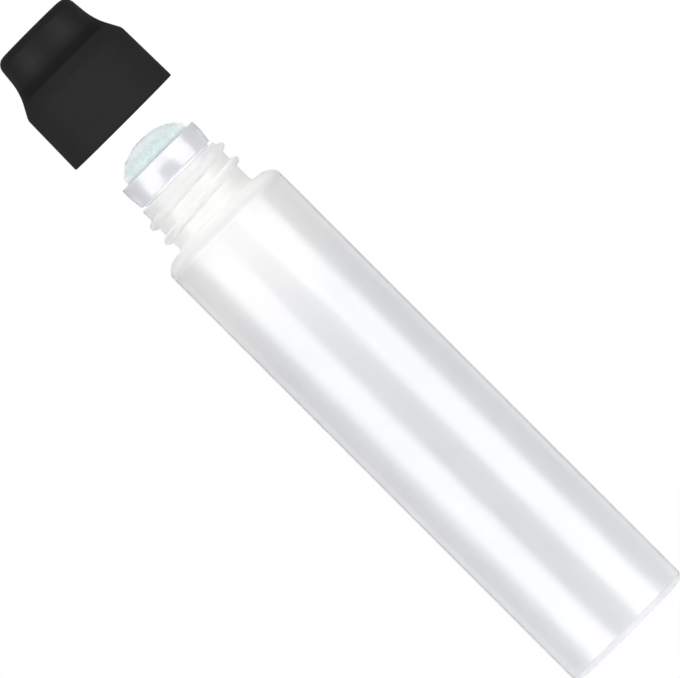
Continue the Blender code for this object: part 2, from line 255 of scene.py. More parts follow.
def softbox(name, azimuth, elevation, size, brightness, away=LAMP_DISTANCE, aim=LAMP_AIM, **seen):
    """An area lamp that faces the axis at the aim's height in mm, with azimuth 0 at the camera."""
    around, above = math.radians(azimuth), math.radians(elevation)
    towards = Vector(
        (math.sin(around) * math.cos(above), -math.cos(around) * math.cos(above), math.sin(above))
    )
    lamp = bpy.data.objects.new(name, bpy.data.lights.new(name, "AREA"))
    lamp.data.shape = "RECTANGLE"
    lamp.data.size, lamp.data.size_y = size
    lamp.data.energy = brightness * math.pi * size[0] * size[1]
    stand = Matrix.Translation(Vector((0.0, 0.0, aim * MM)) + towards * away)
    lamp.matrix_world = stand @ towards.to_track_quat("Z", "Y").to_matrix().to_4x4()
    lamp.visible_camera = False
    for setting, value in seen.items():
        setattr(lamp, setting, value)
    bpy.context.scene.collection.objects.link(lamp)
    return lamp


softbox("left_card", -50, 0, (0.90, 0.34), 6.0, visible_diffuse=False)
softbox("right_card", 47.5, 0, (0.96, 0.34), 6.0, visible_diffuse=False)
softbox("left_upper_card", -54, 18, (0.80, 0.22), 3.4, visible_diffuse=False)
softbox("right_upper_card", 48, 18, (0.80, 0.22), 3.4, visible_diffuse=False)
softbox("left_lower_card", -56.5, -16, (1.09, 0.24), 6.0, visible_diffuse=False)
softbox("right_lower_card", 51.5, -16, (1.0, 0.24), 6.0, visible_diffuse=False)
for side, name in ((-1, "left"), (1, "right")):
    softbox(name + "_softbox", side * 52, 0, (0.86, 0.34), 6.1, visible_glossy=False)
    softbox(name + "_back_softbox", side * 142, 0, (0.5, 0.2), 1.0, aim=40)
    softbox(name + "_flank_card", side * 104, 0, (0.8, 0.5), 0.4, visible_diffuse=False)
    edge = softbox(name + "_table_edge", side * 90, -42, (0.03, 0.012), 1.8, away=0.03, aim=0)
    edge.visible_glossy = False
softbox("back_fill", 180, 0, (0.86, 0.34), 3.0, visible_glossy=False)
softbox("left_side_card", -80, 0, (0.25, 0.6), 1.2, visible_diffuse=False)
softbox("right_side_card", 80, 0, (0.25, 0.6), 0.7, visible_diffuse=False)
softbox("front_card", 0, 0, (0.28, 0.07), 5.2, away=0.25, aim=128, visible_diffuse=False)
ceiling = softbox("ceiling", 0, 90, (0.25, 0.25), 16.0, away=0.6, aim=140, visible_glossy=False)
ceiling.data.use_shadow = False
softbox("light_table", 0, -90, (0.1, 0.1), 0.3, away=0.05, aim=0)

AMBIENT = 0.14
world = bpy.data.worlds.new("studio")
world.use_nodes = True
world.node_tree.nodes["Background"].inputs["Color"].default_value = (1.0, 1.0, 1.0, 1.0)
world.node_tree.nodes["Background"].inputs["Strength"].default_value = AMBIENT
bpy.context.scene.world = world

# %% [markdown]
# ## Turned pieces
# Nearly every piece of the marker is round, so each starts as half of its cross-section: a chain of
# points (radius, height). A third number rounds that corner with a vertex bevel. Spin then turns
# the chain once about the axis, and merging doubles closes the seam and the poles. Scaling the
# rings of a cylinder would do as well, but an outline can be read like a drawing.

# %% Turning helpers
ROUND_STEPS = 128
CORNER_STEPS = 4
SHARP_ANGLE = math.radians(32.0)
NEVER_SHARP = math.radians(180.0)
MERGE = 0.002 * MM


def arc(middle, radii, first, last, steps):
    """Points on an upright ellipse between two angles in degrees, measured from the +X side."""
    angles = [math.radians(first + (last - first) * step / steps) for step in range(steps + 1)]
    return [
        (middle[0] + radii[0] * math.cos(angle), middle[1] + radii[1] * math.sin(angle))
        for angle in angles
    ]


def chain(shape, points, lift=0.0, closed=False):
    """Vertices and edges of an outline in the X-Z plane, rounded at the corners that ask for it."""
    verts = [shape.verts.new((point[0] * MM, 0.0, (point[1] + lift) * MM)) for point in points]
    for first, second in zip(verts, verts[1:] + verts[:1] if closed else verts[1:]):
        shape.edges.new((first, second))
    for vert, point in zip(verts, points):
        if len(point) > 2:
            bmesh.ops.bevel(
                shape,
                geom=[vert],
                offset=point[2] * MM,
                offset_type="OFFSET",
                segments=CORNER_STEPS,
                profile=0.5,
                affect="VERTICES",
                material=-1,
            )


def spun(points, lift=0.0, closed=False, steps=ROUND_STEPS):
    """A bmesh turned from an outline, with its faces outwards."""
    shape = bmesh.new()
    chain(shape, points, lift, closed)
    bmesh.ops.spin(
        shape,
        geom=shape.verts[:] + shape.edges[:],
        cent=(0.0, 0.0, 0.0),
        axis=(0.0, 0.0, 1.0),
        angle=math.tau,
        steps=steps,
        use_merge=True,
    )
    bmesh.ops.remove_doubles(shape, verts=shape.verts[:], dist=MERGE)
    bmesh.ops.recalc_face_normals(shape, faces=shape.faces[:])
    return shape


def piece(name, shape, material, sharp=SHARP_ANGLE):
    """An object at the origin from a bmesh, smooth apart from its sharp edges."""
    mesh = bpy.data.meshes.new(name)
    shape.to_mesh(mesh)
    shape.free()
    mesh.materials.append(material)
    mesh.shade_smooth()
    mesh.set_sharp_from_angle(angle=sharp)
    made = bpy.data.objects.new(name, mesh)
    bpy.context.scene.collection.objects.link(made)
    return made


def hand_over(made, body, node):
    """Lets a piece ride on its body in place of its solid, and prints its size and face count."""
    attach(made, body)
    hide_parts(node)
    size = [round(value / MM, 2) for value in made.dimensions]
    print(made.name, "size in mm", size, "faces", len(made.data.polygons))


print("turning with", ROUND_STEPS, "steps")

# %% [markdown]
# ## Screw threads
# A thread is a spin that climbs: each step of the same operator also lifts the section by a share
# of the pitch. Its ends run out by shrinking the section towards the wall. A Boolean then welds it
# to its piece. The neck and the cap lie on one and the same helix, half a pitch apart, so they
# screw together without touching. The Screw modifier would do much the same, but the operator
# leaves a mesh whose ends can be shaped at once.

# %% Thread helpers
PITCH = 4.0
HELIX_HEIGHT = 122.0  # of the neck's crest on the right-hand side
THREAD_STEPS = 96  # a turn
CREST_ROUNDING = 0.35  # share of the crest's width
FADE_POWER = 0.7  # below 1 the ends rise fast at first
END_WIDTH = 0.5  # share of the section's width that is left at the ends


def thread(root, crest, root_width, crest_width, first_turn, last_turn, fade, shift=0.0):
    """A helical ridge from root to crest radius, between two turns counted from HELIX_HEIGHT."""
    shape = bmesh.new()
    bottom = HELIX_HEIGHT + shift + PITCH * first_turn
    section = [
        (root, -root_width / 2),
        (crest, -crest_width / 2, crest_width * CREST_ROUNDING),
        (crest, crest_width / 2, crest_width * CREST_ROUNDING),
        (root, root_width / 2),
    ]
    chain(shape, section, bottom, closed=True)
    to_start = Matrix.Rotation(math.tau * first_turn, 3, "Z")
    bmesh.ops.rotate(shape, cent=(0.0, 0.0, 0.0), matrix=to_start, verts=shape.verts[:])
    steps = round((last_turn - first_turn) * THREAD_STEPS)
    bmesh.ops.spin(
        shape,
        geom=shape.verts[:] + shape.edges[:],
        cent=(0.0, 0.0, 0.0),
        axis=(0.0, 0.0, 1.0),
        dvec=(0.0, 0.0, PITCH / THREAD_STEPS * MM),
        angle=math.tau * (last_turn - first_turn),
        steps=steps,
    )
    bmesh.ops.holes_fill(shape, edges=shape.edges[:])
    for vert in shape.verts:
        # The turn that this vertex is on: its angle gives the part, its height the whole number.
        part = math.atan2(vert.co.y, vert.co.x) / math.tau
        climbed = (vert.co.z / MM - HELIX_HEIGHT - shift) / PITCH
        at = part + round(climbed - part)
        share = min(1.0, (at - first_turn) / fade, (last_turn - at) / fade)
        share = max(0.0, share) ** FADE_POWER
        radius = math.hypot(vert.co.x, vert.co.y)
        wanted = root * MM + (radius - root * MM) * share
        middle = (HELIX_HEIGHT + shift + PITCH * at) * MM
        vert.co.x *= wanted / radius
        vert.co.y *= wanted / radius
        vert.co.z = middle + (vert.co.z - middle) * (END_WIDTH + (1 - END_WIDTH) * share)
    bmesh.ops.recalc_face_normals(shape, faces=shape.faces[:])
    return shape


def combine(made, shape, operation):
    """Joins a bmesh to a piece or cuts it out with a Boolean, and keeps the result as its mesh."""
    other = piece(made.name + "_other", shape, made.data.materials[0])
    boolean = made.modifiers.new(operation, "BOOLEAN")
    boolean.operation = operation
    boolean.solver = "EXACT"
    boolean.object = other
    graph = bpy.context.evaluated_depsgraph_get()
    mesh = bpy.data.meshes.new_from_object(made.evaluated_get(graph))
    made.modifiers.clear()
    made.data = mesh
    mesh.shade_smooth()
    mesh.set_sharp_from_angle(angle=SHARP_ANGLE)
    bpy.data.objects.remove(other)


print("pitch", PITCH, "mm")

# %% [markdown]
# ## Milky polyethylene
# The bottle is blown from soft polyethylene. Its natural colour is a cool milky white that lets
# some light into the wall, and its skin is half gloss with a faint waviness left by the mould.
# Towards the shoulder the wall is painted whiter, painted light for the brighter light on the upper
# body. The neck is pressed instead of blown and more satin. The underside of the base is matt. The
# finest pattern, the skin, is drawn at 0.4 mm, coarser than it is, because it wouldn't show
# otherwise. Subsurface scattering gives the depth that a plain white lacks. One material covers the
# whole bottle, and the height tells its parts apart.

# %% Milky polyethylene
PAINTED_LIGHT_SPAN = (82.0, 110.0)  # heights over which the body is painted lighter, painted light
UPPER = (113.0, 115.2)  # from the body to the shoulder
BACKED = (117.4, 119.0)  # from the shoulder to the neck, which the holder fills
UNDERSIDE = (0.9, 1.3)  # from the matt base to the body

milky, tree = finish("milky_polyethylene_blow_moulded")
place = add(tree, "ShaderNodeTexCoord").outputs["Object"]
height = add(tree, "ShaderNodeSeparateXYZ", {"Vector": place}).outputs["Z"]
painted_light_up, upper, backed = [
    add(
        tree,
        "ShaderNodeMapRange",
        {"Value": height, "From Min": low * MM, "From Max": high * MM},
        interpolation_type="SMOOTHSTEP",
    ).outputs[0]
    for low, high in (PAINTED_LIGHT_SPAN, UPPER, BACKED)
]
cloud = add(tree, "ShaderNodeTexNoise", {"Vector": place, "Scale": 1 / (22 * MM), "Detail": 2.0})
blown = add(
    tree,
    "ShaderNodeMix",
    {0: cloud.outputs["Fac"], 6: linear("#DDDEE2"), 7: linear("#E4E5E8")},
    data_type="RGBA",
)
# The body is painted lighter towards the shoulder: painted light over the upper body.
body = add(
    tree,
    "ShaderNodeMix",
    {0: painted_light_up, 6: blown.outputs[2], 7: linear("#E9E9E9")},
    data_type="RGBA",
)
top_end = add(
    tree,
    "ShaderNodeMix",
    {0: backed, 6: linear("#EDEDEC"), 7: linear("#E7E7E6")},
    data_type="RGBA",
)
whole = add(
    tree,
    "ShaderNodeMix",
    {0: upper, 6: body.outputs[2], 7: top_end.outputs[2]},
    data_type="RGBA",
)
haze = add(tree, "ShaderNodeTexNoise", {"Vector": place, "Scale": 1 / (3 * MM), "Detail": 4.0})
body_gloss = add(
    tree, "ShaderNodeMapRange", {"Value": haze.outputs["Fac"], "To Min": 0.245, "To Max": 0.272}
)
upright_gloss = add(
    tree,
    "ShaderNodeMix",
    {0: upper, 2: body_gloss.outputs[0], 3: 0.42},
    data_type="FLOAT",
)
base_gloss = add(
    tree,
    "ShaderNodeMapRange",
    {
        "Value": height,
        "From Min": UNDERSIDE[0] * MM,
        "From Max": UNDERSIDE[1] * MM,
        "To Min": 0.65,
        "To Max": 0.0,
    },
)
gloss = add(
    tree,
    "ShaderNodeMath",
    {0: upright_gloss.outputs[0], 1: base_gloss.outputs[0]},
    operation="MAXIMUM",
)
wave = add(tree, "ShaderNodeTexNoise", {"Vector": place, "Scale": 1 / (9 * MM), "Detail": 1.0})
wave_bump = add(
    tree, "ShaderNodeBump", {"Height": wave.outputs["Fac"], "Strength": 0.12, "Distance": 0.5 * MM}
)
skin = add(tree, "ShaderNodeTexNoise", {"Vector": place, "Scale": 1 / (0.4 * MM), "Detail": 2.0})
skin_bump = add(
    tree,
    "ShaderNodeBump",
    {
        "Height": skin.outputs["Fac"],
        "Strength": 0.06,
        "Distance": 0.05 * MM,
        "Normal": wave_bump.outputs["Normal"],
    },
)
shader = add(
    tree,
    "ShaderNodeBsdfPrincipled",
    {
        "Base Color": whole.outputs[2],
        "Roughness": gloss.outputs[0],
        "Normal": skin_bump.outputs[0],
        "IOR": 1.51,
        "Specular IOR Level": 0.6,
        "Subsurface Weight": 0.7,
        "Subsurface Radius": (1.0, 1.0, 1.0),
        "Subsurface Scale": 1.2 * MM,
    },
)
add(tree, "ShaderNodeOutputMaterial", {"Surface": shader.outputs["BSDF"]})
print(milky.name, len(tree.nodes), "nodes")

# %% [markdown]
# ## Bottle
# One blown shell: a flat base with a hollow in its middle, a chamfer round it, a straight body, a
# round shoulder and the threaded neck. The outline goes up the outside, over the lip and down the
# inside, so the wall has its real thickness. Rings up the straight wall keep its faces from getting
# long and thin. A Solidify modifier would give one thickness everywhere, and the neck and the floor
# are thicker than the body.

# %% Bottle
BODY_RADIUS = 15.0
BODY_TOP = 114.0
SHOULDER_TOP = 116.75
NECK_FILLET = 0.7
LIP = 127.75
NECK_RADIUS = 9.9
NECK_BORE = 8.5
WALL = 1.2
BASE_HOLLOW = 0.8
INNER_FLOOR = 2.2
FLOOR_FILLET = 1.0
RINGS = 12

rings = [BODY_TOP * ring / RINGS for ring in range(1, RINGS)]
outline = [(0.0, BASE_HOLLOW), (9.8, BASE_HOLLOW, 0.4), (10.6, 0.0, 0.3)]
outline += [(13.5, 0.0, 0.4), (14.4, 0.6, 0.5), (BODY_RADIUS, 1.4)]
outline += [(BODY_RADIUS, height) for height in rings]
fillet_middle = NECK_RADIUS + NECK_FILLET
shoulder_radii = (BODY_RADIUS - fillet_middle, SHOULDER_TOP - BODY_TOP)
outline += arc((fillet_middle, BODY_TOP), shoulder_radii, 0, 90, 16)
outline += arc((fillet_middle, SHOULDER_TOP + NECK_FILLET), (NECK_FILLET,) * 2, 270, 180, 6)[1:]
inside, inside_top = BODY_RADIUS - WALL, SHOULDER_TOP - WALL
outline += [(NECK_RADIUS, LIP, 0.35), (NECK_BORE, LIP, 0.3), (NECK_BORE, inside_top)]
outline += arc((NECK_BORE, BODY_TOP), (inside - NECK_BORE, inside_top - BODY_TOP), 90, 0, 8)[1:]
outline += [(inside, height) for height in reversed(rings)]
outline += arc((inside - FLOOR_FILLET, INNER_FLOOR + FLOOR_FILLET), (FLOOR_FILLET,) * 2, 0, -90, 5)
outline += [(0.0, INNER_FLOOR)]
bottle = piece("bottle_shell", spun(outline), milky)
neck_thread = thread(
    root=9.6,
    crest=11.2,
    root_width=2.3,
    crest_width=0.9,
    first_turn=-0.86,
    last_turn=1.14,
    fade=0.16,
)
combine(bottle, neck_thread, "UNION")
hand_over(bottle, "barrel", "bottle")

# %% [markdown]
# ## White polypropylene
# The holder of the nib and the parts of the valve are injection moulded. Polypropylene is a little
# whiter and glossier than the bottle, with the same kind of soft, slightly uneven shine. Its grain
# is drawn at 0.3 mm, coarser than it is, because it wouldn't show otherwise. A copy of the bottle's
# finish would be too milky, so this one has less depth.

# %% White polypropylene
white, tree = finish("white_polypropylene_moulded")
place = add(tree, "ShaderNodeTexCoord").outputs["Object"]
cloud = add(tree, "ShaderNodeTexNoise", {"Vector": place, "Scale": 1 / (6 * MM), "Detail": 2.0})
tint = add(
    tree,
    "ShaderNodeMix",
    {0: cloud.outputs["Fac"], 6: linear("#DADBE0"), 7: linear("#E0E1E5")},
    data_type="RGBA",
)
haze = add(tree, "ShaderNodeTexNoise", {"Vector": place, "Scale": 1 / (1.5 * MM), "Detail": 3.0})
gloss = add(
    tree, "ShaderNodeMapRange", {"Value": haze.outputs["Fac"], "To Min": 0.22, "To Max": 0.265}
)
grain = add(tree, "ShaderNodeTexNoise", {"Vector": place, "Scale": 1 / (0.3 * MM), "Detail": 2.0})
grain_bump = add(
    tree,
    "ShaderNodeBump",
    {"Height": grain.outputs["Fac"], "Strength": 0.05, "Distance": 0.04 * MM},
)
shader = add(
    tree,
    "ShaderNodeBsdfPrincipled",
    {
        "Base Color": tint.outputs[2],
        "Roughness": gloss.outputs[0],
        "Normal": grain_bump.outputs[0],
        "IOR": 1.49,
        "Specular IOR Level": 0.8,
        "Subsurface Weight": 0.6,
        "Subsurface Radius": (1.0, 1.0, 1.0),
        "Subsurface Scale": 0.8 * MM,
    },
)
add(tree, "ShaderNodeOutputMaterial", {"Surface": shader.outputs["BSDF"]})
print(white.name, len(tree.nodes), "nodes")

# %% [markdown]
# ## Nib holder
# A plug that is pressed into the neck. Three thin beads seal it there, and its collar stays
# outside, slightly fuller in the upper half, with a hollow for the nib. The floor of the hollow has
# the hole that the valve closes. Tubes and rings joined by Booleans would do, but all of it is
# round, so one closed outline gives it in a single turn.

# %% Nib holder
COLLAR_BOTTOM = 128.3
COLLAR_TOP = 133.5
COLLAR_WAIST = 131.3  # below it the collar gets narrower
PLUG_BOTTOM = 118.45
PLUG_RADIUS = 8.0
SKIRT_BORE = 6.4
HOLE_RADIUS = 3.0
FLOOR_BOTTOM = 126.9
FLOOR_TOP = 128.5
NIB_HOLLOW = 8.35
BEADS = 3
BEAD_HEIGHT = 0.2
BEAD_HALF_WIDTH = 0.4

# The second and third points lie next to the rounded corners and keep the shading between even.
outline = [(9.82, COLLAR_TOP, 0.25), (9.823, COLLAR_TOP - 0.35)]
outline += [(9.837, COLLAR_WAIST + 0.45), (9.84, COLLAR_WAIST, 0.4), (9.46, COLLAR_BOTTOM, 0.3)]
outline += [(8.7, COLLAR_BOTTOM), (8.7, LIP + 0.1), (PLUG_RADIUS, LIP + 0.1)]
bead_step = (COLLAR_BOTTOM - PLUG_BOTTOM) / (BEADS + 1)
for bead in range(1, BEADS + 1):
    middle = COLLAR_BOTTOM - bead_step * bead
    outline += [
        (PLUG_RADIUS, middle + BEAD_HALF_WIDTH),
        (PLUG_RADIUS + BEAD_HEIGHT, middle, 0.1),
        (PLUG_RADIUS, middle - BEAD_HALF_WIDTH),
    ]
outline += [(PLUG_RADIUS, PLUG_BOTTOM, 0.2), (SKIRT_BORE, PLUG_BOTTOM, 0.2)]
outline += [(SKIRT_BORE, FLOOR_BOTTOM), (HOLE_RADIUS, FLOOR_BOTTOM, 0.1)]
outline += [(HOLE_RADIUS, FLOOR_TOP, 0.1)]
outline += [(NIB_HOLLOW, FLOOR_TOP), (NIB_HOLLOW, COLLAR_TOP, 0.2)]
holder = piece("nib_collar_and_plug", spun(outline, closed=True), white)
hand_over(holder, "barrel", "nib_holder")

# %% [markdown]
# ## Needled felt
# The nib is a dome of pressed polyester fibres, tinted a pale aqua. It has no gloss, its colour is
# mottled in upright flecks of about half a millimetre, and light sinks in between the fibres. It is
# painted lighter round the rim, painted light where the collar would shade it, and on the apex,
# painted light from above where the cap would shade it. A loose fibre is too thin for light to sink
# in, so fibres get a copy of the finish that is changed in that, with lighter flecks, a painted sheen
# for the light that the fuzz catches at the nib's edge. A flat aqua would look like plastic, so
# noise at two sizes draws the flecks and the strands.

# %% Needled felt
PAINTED_RIM_LIGHT = (133.6, 135.6, 0.7, 0.0)  # two heights and how much painted light lifts the felt at each
PAINTED_APEX_LIGHT = (135.8, 137.6, 0.0, 0.95)

felt, tree = finish("needled_polyester_felt")
place = add(tree, "ShaderNodeTexCoord").outputs["Object"]
upright_place = add(tree, "ShaderNodeMapping", {"Vector": place, "Scale": (1.0, 1.0, 0.35)})
fleck = add(
    tree,
    "ShaderNodeTexNoise",
    {"Vector": upright_place.outputs[0], "Scale": 1 / (0.6 * MM), "Detail": 3.0},
)
fleck_range = add(
    tree, "ShaderNodeMapRange", {"Value": fleck.outputs["Fac"], "From Min": 0.35, "From Max": 0.65}
)
flecked = add(
    tree,
    "ShaderNodeMix",
    {0: fleck_range.outputs[0], 6: linear("#C1D4D4"), 7: linear("#DCE8E8")},
    data_type="RGBA",
)
height = add(tree, "ShaderNodeSeparateXYZ", {"Vector": place}).outputs["Z"]
# Painted light: the felt is painted lighter round the rim and on the apex, where the collar and the
# cap would shade it.
painted_rim_light, painted_apex_light = [
    add(
        tree,
        "ShaderNodeMapRange",
        {
            "Value": height,
            "From Min": low * MM,
            "From Max": high * MM,
            "To Min": at_low,
            "To Max": at_high,
        },
        interpolation_type="SMOOTHSTEP",
    ).outputs[0]
    for low, high, at_low, at_high in (PAINTED_RIM_LIGHT, PAINTED_APEX_LIGHT)
]
lighter = add(tree, "ShaderNodeMath", {0: painted_rim_light, 1: painted_apex_light}, operation="MAXIMUM")
tint = add(
    tree,
    "ShaderNodeMix",
    {0: lighter.outputs[0], 6: flecked.outputs[2], 7: linear("#ECF6F6")},
    data_type="RGBA",
)
strands = add(
    tree,
    "ShaderNodeTexNoise",
    {"Vector": place, "Scale": 1 / (0.3 * MM), "Detail": 4.0, "Distortion": 1.5},
)
strand_bump = add(
    tree,
    "ShaderNodeBump",
    {"Height": strands.outputs["Fac"], "Strength": 0.25, "Distance": 0.12 * MM},
)
shader = add(
    tree,
    "ShaderNodeBsdfPrincipled",
    {
        "Base Color": tint.outputs[2],
        "Normal": strand_bump.outputs[0],
        "Roughness": 0.95,
        "Specular IOR Level": 0.1,
        "Subsurface Weight": 1.0,
        "Subsurface Radius": (1.0, 1.0, 1.0),
        "Subsurface Scale": 1.5 * MM,
        "Sheen Weight": 1.0,
        "Sheen Roughness": 0.5,
    },
)
add(tree, "ShaderNodeOutputMaterial", {"Surface": shader.outputs["BSDF"]})
loose = felt.copy()
loose.name = "loose_polyester_fibres"
loose.node_tree.nodes["Principled BSDF"].inputs["Subsurface Weight"].default_value = 0.0
# The fibres' flecks are painted lighter, a painted sheen for the light that the fuzz catches at the
# nib's edge.
for socket, tone in ((6, "#DDEAEA"), (7, "#EEF6F6")):
    loose.node_tree.nodes[flecked.name].inputs[socket].default_value = linear(tone)
print(felt.name, "and", loose.name, len(tree.nodes), "nodes")

# %% [markdown]
# ## Felt nib
# The nib is what paints: a hard dome of felt that stands out of the collar. A flattened sphere
# would be too round at the rim, so the dome is turned from a curve with a fullness of its own. Then
# its skin is pushed in and out by noise at the size of the fibre bundles.

# %% Felt nib
NIB_RADIUS = 8.15
FELT_BOTTOM = 131.6
APEX = 138.25
FULLNESS = 1.8
DOME_STEPS = 32
PEG_HOLE_TOP = 134.0
PEG_HOLE_RADIUS = 2.5
BUNDLE = 0.75
FINE_SIZE = 0.4  # of the finer noise, as a share of a bundle
FINE_SHARE = 0.6
SINK = 0.6  # moves the relief inwards, so that the dome keeps its size
RELIEF = 0.06


def dome_radius(height):
    """Radius of the nib at a height above the collar."""
    up_share = min(1.0, (height - COLLAR_TOP) / (APEX - COLLAR_TOP))
    return NIB_RADIUS * (1 - up_share**2) ** (1 / FULLNESS)


outline = [(0.0, PEG_HOLE_TOP), (PEG_HOLE_RADIUS, PEG_HOLE_TOP), (PEG_HOLE_RADIUS, FELT_BOTTOM)]
outline += [(7.9, FELT_BOTTOM), (NIB_RADIUS, FELT_BOTTOM + 0.3)]
for step in range(DOME_STEPS + 1):
    height = COLLAR_TOP + (APEX - COLLAR_TOP) * math.sin(math.pi / 2 * step / DOME_STEPS)
    outline.append((dome_radius(height) if step < DOME_STEPS else 0.0, height))
shape = spun(outline)
shape.normal_update()
for vert in shape.verts:
    if vert.co.z > (COLLAR_TOP + 0.1) * MM:
        coarse = noise.noise(vert.co / (BUNDLE * MM))
        fine = noise.noise(vert.co / (FINE_SIZE * BUNDLE * MM))
        vert.co += vert.normal * (coarse + FINE_SHARE * fine - SINK) * RELIEF * MM
nib = piece("nib_felt_dome", shape, felt, NEVER_SHARP)
print("dome of", len(nib.data.polygons), "faces")

# %% [markdown]
# ## Loose fibres
# A few fibres stand off the felt of a real nib and soften its edge. Hair would draw them too, but
# it isn't a mesh. So one curved strand is made by spinning a tiny triangle, and copies of it are
# laid over the dome, most of them nearly flat, a few standing up. Real fibres are about a third as
# thick and wouldn't show.

# %% Loose fibres
FIBRES = 1500
STRAND_RADIUS = 0.035
STRAND_BEND = 0.6
STRAND_STEPS = 4
ROOT_DEPTH = 0.16
OUTERMOST = 0.985  # share of the nib's radius
AHEAD = 0.02  # step for measuring the slope
COMBED_RADIUS = 8.2
LEANS = (25.0, 88.0, 75.0)  # least, most and usual lean in degrees
chance = random.Random(7)

strand = bmesh.new()
bmesh.ops.create_circle(strand, cap_ends=False, segments=3, radius=STRAND_RADIUS * MM)
bmesh.ops.spin(
    strand,
    geom=strand.verts[:] + strand.edges[:],
    cent=(STRAND_BEND * MM, 0.0, 0.0),
    axis=(0.0, 1.0, 0.0),
    angle=math.radians(75.0),
    steps=STRAND_STEPS,
)
bmesh.ops.holes_fill(strand, edges=strand.edges[:])
bmesh.ops.recalc_face_normals(strand, faces=strand.faces[:])
strand_mesh = bpy.data.meshes.new("strand")
strand.to_mesh(strand_mesh)
strand.free()

fuzz = bmesh.new()
for number in range(FIBRES):
    # Even over the dome: the golden angle round the axis, equal areas from the apex outwards.
    around = number * math.pi * (3 - math.sqrt(5))
    radius = NIB_RADIUS * OUTERMOST * math.sqrt((number + 0.5) / FIBRES)
    height, ahead = [
        COLLAR_TOP + (APEX - COLLAR_TOP) * math.sqrt(max(0.0, 1 - (at / NIB_RADIUS) ** FULLNESS))
        for at in (radius, radius + AHEAD)
    ]
    slope = math.atan2(height - ahead, AHEAD)
    outwards = Vector(
        (math.sin(slope) * math.cos(around), math.sin(slope) * math.sin(around), math.cos(slope))
    )
    lean = Matrix.Rotation(math.radians(chance.triangular(*LEANS)), 4, "Y")
    spin_round = Matrix.Rotation(chance.uniform(0.0, math.tau), 4, "Z")
    stand = outwards.to_track_quat("Z", "Y").to_matrix().to_4x4()
    spot = Vector((radius * math.cos(around), radius * math.sin(around), height - ROOT_DEPTH)) * MM
    size = Matrix.Scale(chance.uniform(0.7, 1.3), 4)
    one = strand_mesh.copy()
    one.transform(Matrix.Translation(spot) @ stand @ spin_round @ lean @ size)
    fuzz.from_mesh(one)
    bpy.data.meshes.remove(one)
# The collar combs the outermost fibres in, so that none cuts into it when the nib is pressed.
for vert in fuzz.verts:
    reach = math.hypot(vert.co.x, vert.co.y)
    if reach > COMBED_RADIUS * MM:
        vert.co.xy *= COMBED_RADIUS * MM / reach
fibres = piece("nib_felt_fibres", fuzz, loose, NEVER_SHARP)
for made in (nib, fibres):
    hand_over(made, "nib", "nib_felt")

# %% [markdown]
# ## Soft seals
# The ring on the valve and the ring in the cap are moulded from a grey elastomer. It is matt, with
# a dusty look from a very fine texture, and its colour is a little uneven. The texture is drawn at
# 0.5 mm, coarser than it is. Both rings are inside, so a finish with one noise is enough.

# %% Grey elastomer
rubber, tree = finish("grey_elastomer_moulded")
place = add(tree, "ShaderNodeTexCoord").outputs["Object"]
dust = add(tree, "ShaderNodeTexNoise", {"Vector": place, "Scale": 1 / (0.5 * MM), "Detail": 4.0})
tint = add(
    tree,
    "ShaderNodeMix",
    {0: dust.outputs["Fac"], 6: linear("#9B9B96"), 7: linear("#A8A8A3")},
    data_type="RGBA",
)
rough = add(
    tree, "ShaderNodeMapRange", {"Value": dust.outputs["Fac"], "To Min": 0.65, "To Max": 0.85}
)
dust_bump = add(
    tree, "ShaderNodeBump", {"Height": dust.outputs["Fac"], "Strength": 0.15, "Distance": 0.03 * MM}
)
shader = add(
    tree,
    "ShaderNodeBsdfPrincipled",
    {"Base Color": tint.outputs[2], "Roughness": rough.outputs[0], "Normal": dust_bump.outputs[0]},
)
add(tree, "ShaderNodeOutputMaterial", {"Surface": shader.outputs["BSDF"]})
print(rubber.name, len(tree.nodes), "nodes")

# %% [markdown]
# ## Steel
# The spring is drawn wire: grey, with a soft shine that is broken up by fine marks. The mixing
# balls are ground and polished, so they are lighter and mirror their surroundings, with a faint
# cloud of wear. Both finishes have the same nodes with other numbers, so a loop makes them.

# %% Steel
STEELS = {
    # name: darker colour, lighter colour, size of the marks in mm, lowest and highest roughness
    "stainless_wire_drawn": ("#A9A9AD", "#B9B9BC", 0.12, 0.28, 0.42),
    "stainless_steel_polished": ("#C2C2C5", "#CBCBCE", 1.2, 0.06, 0.16),
}
steels = {}
for name, (dark, light, marks, least, most) in STEELS.items():
    steels[name], tree = finish(name)
    place = add(tree, "ShaderNodeTexCoord").outputs["Object"]
    wear = add(
        tree, "ShaderNodeTexNoise", {"Vector": place, "Scale": 1 / (marks * MM), "Detail": 3.0}
    )
    tint = add(
        tree,
        "ShaderNodeMix",
        {0: wear.outputs["Fac"], 6: linear(dark), 7: linear(light)},
        data_type="RGBA",
    )
    rough = add(
        tree, "ShaderNodeMapRange", {"Value": wear.outputs["Fac"], "To Min": least, "To Max": most}
    )
    shader = add(
        tree,
        "ShaderNodeBsdfPrincipled",
        {"Base Color": tint.outputs[2], "Roughness": rough.outputs[0], "Metallic": 1.0},
    )
    add(tree, "ShaderNodeOutputMaterial", {"Surface": shader.outputs["BSDF"]})
    print(name, len(tree.nodes), "nodes")

# %% [markdown]
# ## Valve
# Under the nib sits a plate with a stem and six holes for the paint. The stem ends in the socket of
# a poppet, which carries the soft ring that closes the holder's floor from below. A spring pushes
# the poppet up and stands in a flanged cup with crossed slots. The round pieces are turned, then
# the holes and slots are cut out. Booleans are simpler here than leaving gaps in the turned faces.

